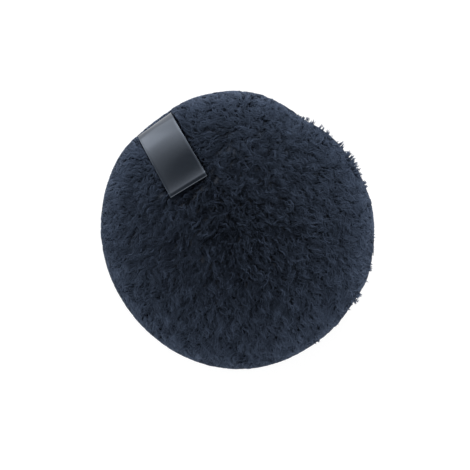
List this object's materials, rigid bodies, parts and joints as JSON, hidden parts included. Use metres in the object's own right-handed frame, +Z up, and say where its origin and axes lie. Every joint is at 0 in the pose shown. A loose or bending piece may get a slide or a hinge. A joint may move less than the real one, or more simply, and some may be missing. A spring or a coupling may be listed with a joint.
{
  "type": "makeup remover puff",
  "caption": "Round plush makeup remover puff with a crowned front, a flattened back, a foam core and a folded ribbon tab that flaps from its rim seam.",
  "frame": {"origin": "middle of the flat face on the back that the puff lies on", "axes": "+Z up through the crown of the front, +Y out through the middle of the ribbon tab at the rim, +X to the right seen from above with the tab at the top"},
  "size_m": [0.12, 0.12, 0.03],
  "materials": {
    "plush": "matte",
    "foam": "matte",
    "thread": "matte",
    "ribbon": "satin"
  },
  "bodies": {
    "puff": {"front_cover": "plush", "back_cover": "plush", "foam_core": "foam", "seam_needle_thread": "thread", "seam_bobbin_thread": "thread", "closing_thread": "thread", "label_tail_front": "ribbon", "label_tail_back": "ribbon"},
    "tab": {"label_tab": "ribbon"}
  },
  "joints": [
    {"name": "label_flap", "type": "hinge", "parent": "puff", "child": "tab", "pos_m": [0, 0.05945, 0.013], "axis": [-1, 0, 0], "range_deg": [0, 150]}
  ]
}
